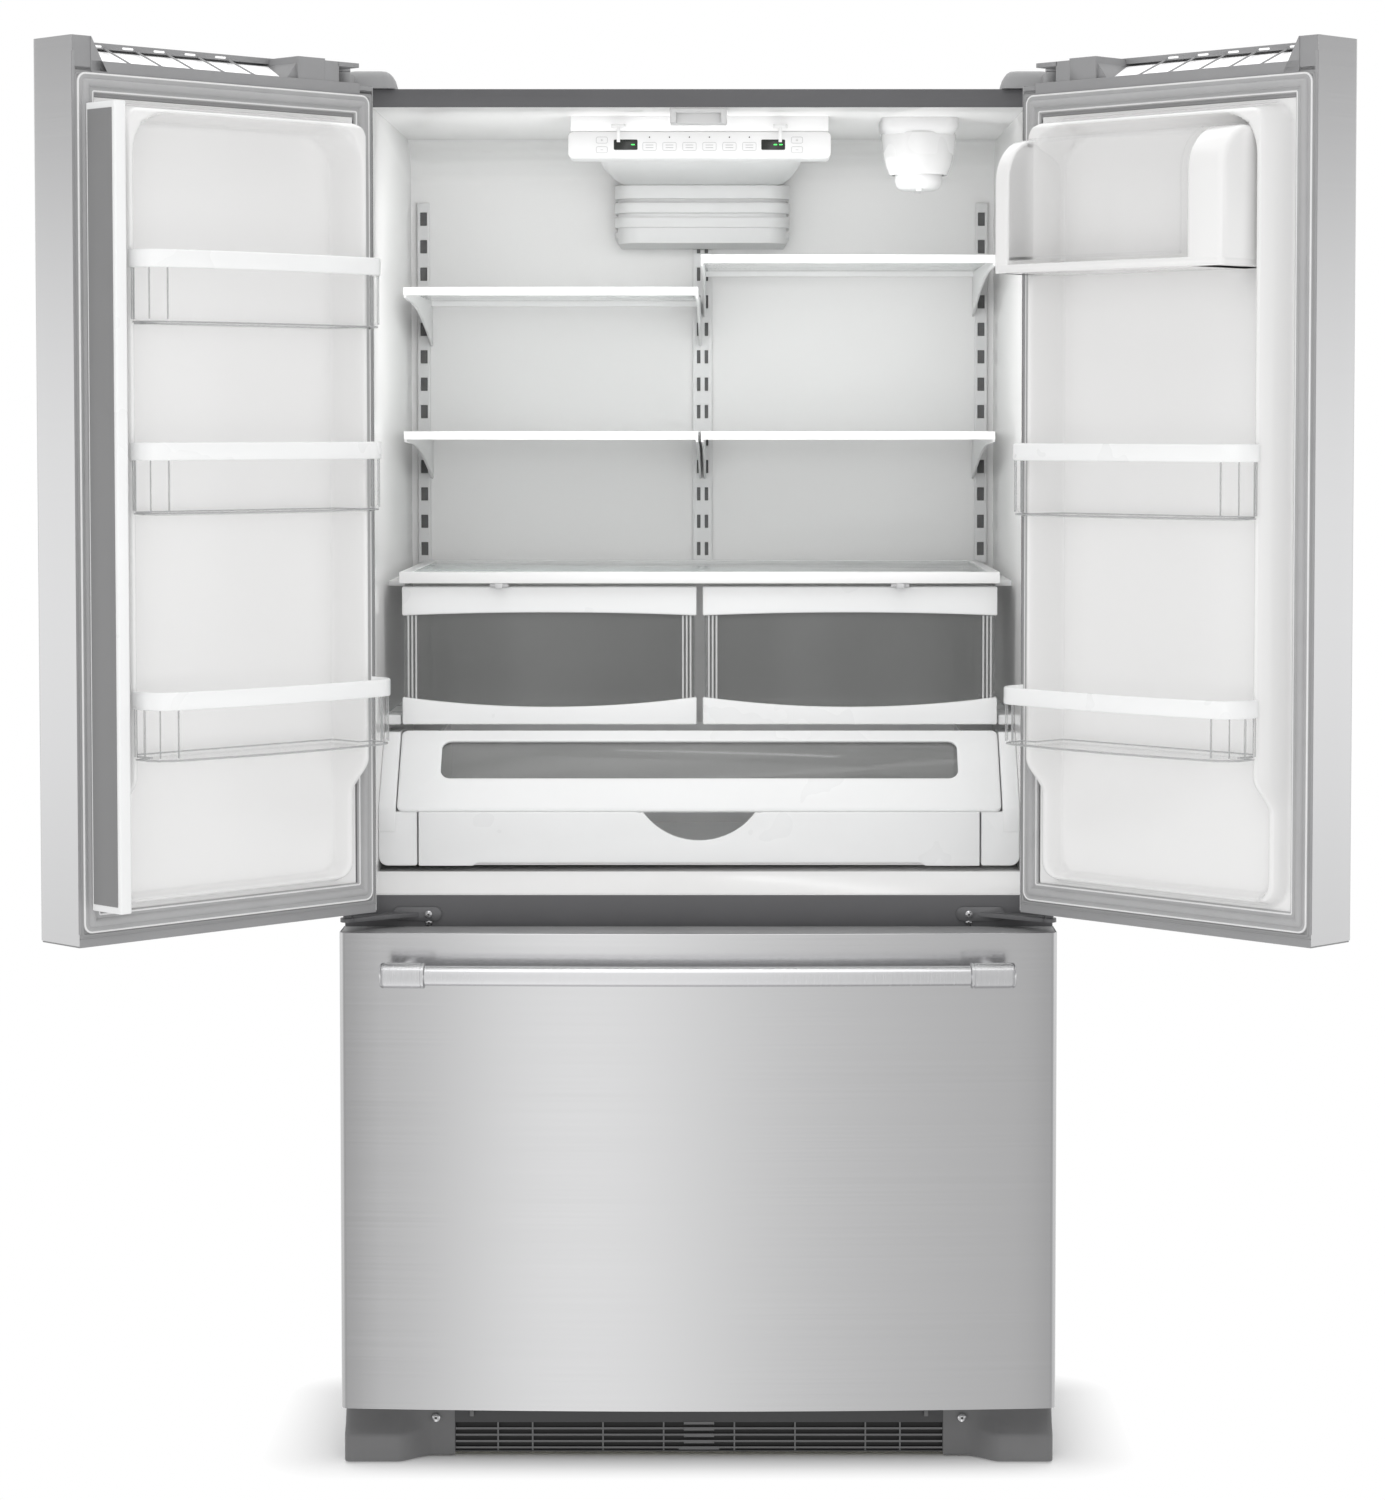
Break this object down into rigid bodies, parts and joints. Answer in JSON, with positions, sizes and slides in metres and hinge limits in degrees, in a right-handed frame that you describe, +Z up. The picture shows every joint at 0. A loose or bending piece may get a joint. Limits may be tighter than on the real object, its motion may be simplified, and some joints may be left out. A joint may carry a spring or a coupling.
{
  "type": "refrigerator",
  "caption": "French door refrigerator with its doors standing open on bins, shelves and crispers, over a pull-out freezer drawer with a bar handle.",
  "frame": {"origin": "on the floor, under the centre of the whole footprint with both doors standing open", "axes": "+Z up; the cabinet front faces -Y; +X is to the right when the front is seen"},
  "size_m": [1.565, 1.1817, 1.776],
  "materials": {
    "case_grey": "satin",
    "foam": "matte",
    "liner_white": "gloss",
    "sheet_steel": "satin",
    "machine_black": "satin",
    "fin_aluminium": "satin",
    "grille_grey": "matte",
    "foot_grey": "matte",
    "bracket_steel": "satin",
    "cover_grey": "matte",
    "white_plastic": "satin",
    "panel_white": "satin",
    "clear_plastic": "gloss",
    "shelf_glass": "gloss",
    "ladder_grey": "satin",
    "rail_steel": "satin",
    "roller_black": "matte",
    "foot_steel": "satin",
    "knob_grey": "satin",
    "stainless": "satin",
    "handle_steel": "satin",
    "frame_grey": "satin",
    "gasket_grey": "matte"
  },
  "bodies": {
    "cabinet": {"outer_case": "case_grey", "insulation": "foam", "fridge_liner": "liner_white", "freezer_liner": "liner_white", "rear_panels": "sheet_steel", "base_frame": "sheet_steel", "compressor": "machine_black", "condenser": "machine_black", "evaporator": "fin_aluminium", "evaporator_cover": "liner_white", "toe_grille": "grille_grey", "foot_covers": "foot_grey", "hinge_brackets": "bracket_steel", "hinge_covers": "cover_grey", "control_housing": "white_plastic", "control_panel": "panel_white", "light_lens": "clear_plastic", "filter_housing": "white_plastic", "shelf_ladders": "ladder_grey", "shelf_frames": "white_plastic", "glass_panes": "shelf_glass", "drawer_runners": "white_plastic", "freezer_slides": "rail_steel"},
    "door_left": {"door_left_skin": "stainless", "door_left_core": "foam", "door_left_frame": "frame_grey", "door_left_liner": "liner_white", "door_left_gasket": "gasket_grey", "door_left_handle": "handle_steel", "door_left_bins": "clear_plastic"},
    "door_right": {"door_right_skin": "stainless", "door_right_core": "foam", "door_right_frame": "frame_grey", "door_right_liner": "liner_white", "door_right_gasket": "gasket_grey", "door_right_handle": "handle_steel", "door_right_bins": "clear_plastic"},
    "mullion_bar": {"mullion": "white_plastic"},
    "butter_lid": {"butter_cover": "clear_plastic"},
    "freezer_drawer": {"freezer_skin": "stainless", "freezer_core": "foam", "freezer_gasket": "gasket_grey", "freezer_handle": "handle_steel", "freezer_basket": "white_plastic"},
    "upper_freezer_basket": {"upper_basket": "white_plastic"},
    "crisper_drawer_left": {"crisper_left": "clear_plastic"},
    "crisper_drawer_right": {"crisper_right": "clear_plastic"},
    "deli_box": {"deli_drawer": "white_plastic"},
    "visor": {"deli_visor": "white_plastic"},
    "slider_left": {"humidity_slider_left": "knob_grey"},
    "slider_right": {"humidity_slider_right": "knob_grey"},
    "switch_left": {"light_switch_left": "white_plastic"},
    "switch_right": {"light_switch_right": "white_plastic"},
    "filter_cartridge": {"water_filter": "white_plastic"},
    "front_wheels": {"front_rollers": "roller_black"},
    "rear_wheels": {"rear_rollers": "roller_black"},
    "foot_left": {"levelling_foot_left": "foot_steel"},
    "foot_right": {"levelling_foot_right": "foot_steel"},
    "fan_condenser": {"condenser_fan": "roller_black"},
    "fan_evaporator": {"evaporator_fan": "white_plastic"}
  },
  "joints": [
    {"name": "door_left_hinge", "type": "hinge", "parent": "cabinet", "child": "door_left", "pos_m": [-0.443, -0.2022, 1.232], "axis": [0, 0, -1], "range_deg": [-134.5, 0]},
    {"name": "door_right_hinge", "type": "hinge", "parent": "cabinet", "child": "door_right", "pos_m": [0.443, -0.2022, 1.232], "axis": [0, 0, 1], "range_deg": [-134.5, 0]},
    {"name": "mullion_fold", "type": "hinge", "parent": "door_left", "child": "mullion_bar", "pos_m": [-0.69419, -0.54877, 1.222], "axis": [0, 0, 1], "range_deg": [-90, 0]},
    {"name": "butter_cover_hinge", "type": "hinge", "parent": "door_right", "child": "butter_lid", "pos_m": [0.5033, -0.42335, 1.665], "axis": [-0.7009, 0.7133, 0], "range_deg": [0, 75]},
    {"name": "freezer_slide", "type": "slide", "parent": "cabinet", "child": "freezer_drawer", "axis": [0, -1, 0], "range_m": [0, 0.42]},
    {"name": "upper_basket_slide", "type": "slide", "parent": "cabinet", "child": "upper_freezer_basket", "axis": [0, -1, 0], "range_m": [0, 0.294]},
    {"name": "crisper_left_slide", "type": "slide", "parent": "cabinet", "child": "crisper_drawer_left", "axis": [0, -1, 0], "range_m": [0, 0.27]},
    {"name": "crisper_right_slide", "type": "slide", "parent": "cabinet", "child": "crisper_drawer_right", "axis": [0, -1, 0], "range_m": [0, 0.27]},
    {"name": "deli_slide", "type": "slide", "parent": "cabinet", "child": "deli_box", "axis": [0, -1, 0], "range_m": [0, 0.27]},
    {"name": "deli_visor_hinge", "type": "hinge", "parent": "deli_box", "child": "visor", "pos_m": [0, -0.0172, 0.915], "axis": [-1, 0, 0], "range_deg": [0, 45]},
    {"name": "humidity_left_slide", "type": "slide", "parent": "cabinet", "child": "slider_left", "axis": [1, 0, 0], "range_m": [-0.035, 0.035]},
    {"name": "humidity_right_slide", "type": "slide", "parent": "cabinet", "child": "slider_right", "axis": [1, 0, 0], "range_m": [-0.035, 0.035]},
    {"name": "light_switch_left_hinge", "type": "hinge", "parent": "cabinet", "child": "switch_left", "pos_m": [-0.105, -0.0292, 1.713], "axis": [1, 0, 0], "range_deg": [0, 12], "stiffness_Nm_per_rad": 0.02, "springref_deg": -11.46},
    {"name": "light_switch_right_hinge", "type": "hinge", "parent": "cabinet", "child": "switch_right", "pos_m": [0.105, -0.0292, 1.713], "axis": [1, 0, 0], "range_deg": [0, 12], "stiffness_Nm_per_rad": 0.02, "springref_deg": -11.46},
    {"name": "filter_turn", "type": "hinge", "parent": "cabinet", "child": "filter_cartridge", "pos_m": [0.288, 0.0428, 1.674], "axis": [0, 0, -1], "range_deg": [0, 90]},
    {"name": "front_roller_spin", "type": "hinge", "parent": "cabinet", "child": "front_wheels", "pos_m": [0, -0.0772, 0.022], "axis": [1, 0, 0], "continuous": true},
    {"name": "rear_roller_spin", "type": "hinge", "parent": "cabinet", "child": "rear_wheels", "pos_m": [0, 0.5028, 0.022], "axis": [1, 0, 0], "continuous": true},
    {"name": "foot_left_screw", "type": "hinge", "parent": "cabinet", "child": "foot_left", "pos_m": [-0.404, -0.1212, 0.03], "axis": [0, 0, 1], "continuous": true},
    {"name": "foot_right_screw", "type": "hinge", "parent": "cabinet", "child": "foot_right", "pos_m": [0.404, -0.1212, 0.03], "axis": [0, 0, 1], "continuous": true},
    {"name": "condenser_fan_spin", "type": "hinge", "parent": "cabinet", "child": "fan_condenser", "pos_m": [0.052, 0.4678, 0.135], "axis": [1, 0, 0], "continuous": true},
    {"name": "evaporator_fan_spin", "type": "hinge", "parent": "cabinet", "child": "fan_evaporator", "pos_m": [0, 0.3598, 0.6], "axis": [0, 1, 0], "continuous": true}
  ],
  "couplings": [
    {"joint": "mullion_fold", "follows": "door_left_hinge", "ratio": 0.669},
    {"joint": "upper_basket_slide", "follows": "freezer_slide", "ratio": 0.7}
  ]
}
